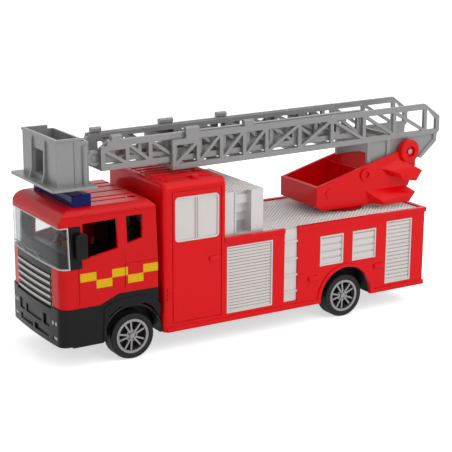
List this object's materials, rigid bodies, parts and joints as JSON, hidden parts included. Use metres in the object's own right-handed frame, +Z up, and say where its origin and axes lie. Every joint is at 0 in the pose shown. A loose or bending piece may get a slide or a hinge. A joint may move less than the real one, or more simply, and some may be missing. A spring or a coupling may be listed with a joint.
{
  "type": "toy fire engine",
  "caption": "Toy fire engine with free-rolling wheels, a turntable, a rising and extending ladder, and a rescue platform that stays level at its tip.",
  "frame": {"origin": "middle of the overall length and width, on the ground under the wheels", "axes": "+X forward, +Y to the vehicle's left, +Z up"},
  "size_m": [0.2178, 0.0586, 0.1004],
  "materials": {
    "red_plastic": "glossy moulded ABS",
    "black_plastic": "satin moulded plastic",
    "tyre": "matt soft plastic",
    "plated_plastic": "silver-plated plastic",
    "grey_plastic": "satin grey moulded plastic",
    "interior_plastic": "dark moulded plastic",
    "clear_plastic": "clear polystyrene",
    "blue_plastic": "clear blue polystyrene",
    "steel": "plain steel wire and screws",
    "silver_plastic": "satin silver-coloured plastic"
  },
  "bodies": {
    "vehicle": {"base_screws": "steel", "body_shell": "red_plastic", "cab_shell": "red_plastic", "cab_skirt": "black_plastic", "chassis": "black_plastic", "crew_window_left": "silver_plastic", "crew_window_right": "silver_plastic", "dashboard": "interior_plastic", "deck_insert": "silver_plastic", "front_louvre_left": "silver_plastic", "front_louvre_right": "silver_plastic", "grille": "black_plastic", "ladder_strip_left": "silver_plastic", "ladder_strip_right": "silver_plastic", "lamp_unit_left": "plated_plastic", "lamp_unit_right": "plated_plastic", "light_bar": "blue_plastic", "main_shutter_left": "silver_plastic", "main_shutter_right": "silver_plastic", "mirror_left": "black_plastic", "mirror_right": "black_plastic", "rear_louvre_left": "silver_plastic", "rear_louvre_right": "silver_plastic", "rear_shutter_left": "silver_plastic", "rear_shutter_right": "silver_plastic", "seats": "interior_plastic", "steering_wheel": "grey_plastic", "tail_shutter": "silver_plastic", "windscreen": "clear_plastic"},
    "front_wheels": {"front_axle": "steel", "front_left_hub_cap": "plated_plastic", "front_left_tyre": "tyre", "front_right_hub_cap": "plated_plastic", "front_right_tyre": "tyre"},
    "rear_wheels": {"rear_axle": "steel", "rear_left_hub_cap": "plated_plastic", "rear_left_tyre": "tyre", "rear_right_hub_cap": "plated_plastic", "rear_right_tyre": "tyre"},
    "turret": {"turret": "red_plastic", "turntable_screw": "steel", "turntable_washer": "steel"},
    "main_ladder": {"main_ladder_left": "grey_plastic", "main_ladder_right": "grey_plastic", "main_ladder_rungs": "grey_plastic", "main_ladder_bracket_left": "grey_plastic", "main_ladder_bracket_right": "grey_plastic", "ladder_pivot_pin": "steel"},
    "mid_ladder": {"mid_ladder_left": "grey_plastic", "mid_ladder_right": "grey_plastic", "mid_ladder_rungs": "grey_plastic"},
    "top_ladder": {"top_ladder_left": "grey_plastic", "top_ladder_right": "grey_plastic", "top_ladder_rungs": "grey_plastic", "platform_pin": "steel"},
    "platform": {"platform": "grey_plastic"}
  },
  "joints": [
    {"name": "front_wheels_spin", "type": "hinge", "parent": "vehicle", "child": "front_wheels", "pos_m": [0.07289, 0, 0.0107], "axis": [0, 1, 0], "continuous": true},
    {"name": "rear_wheels_spin", "type": "hinge", "parent": "vehicle", "child": "rear_wheels", "pos_m": [-0.04251, 0, 0.0107], "axis": [0, 1, 0], "continuous": true},
    {"name": "turntable_turn", "type": "hinge", "parent": "vehicle", "child": "turret", "pos_m": [-0.05631, 0, 0.0488], "axis": [0, 0, 1], "continuous": true},
    {"name": "ladder_raise", "type": "hinge", "parent": "turret", "child": "main_ladder", "pos_m": [-0.08781, 0, 0.0762], "axis": [0, -1, 0], "range_deg": [0, 60]},
    {"name": "mid_ladder_slide", "type": "slide", "parent": "main_ladder", "child": "mid_ladder", "axis": [0.9999, 0, -0.0157], "range_m": [0, 0.08]},
    {"name": "top_ladder_slide", "type": "slide", "parent": "mid_ladder", "child": "top_ladder", "axis": [0.9999, 0, -0.0157], "range_m": [0, 0.09]},
    {"name": "platform_tilt", "type": "hinge", "parent": "top_ladder", "child": "platform", "pos_m": [0.08211, 0, 0.08903], "axis": [0, -1, 0], "range_deg": [-60, 0]}
  ],
  "couplings": [
    {"joint": "platform_tilt", "follows": "ladder_raise", "ratio": -1}
  ]
}
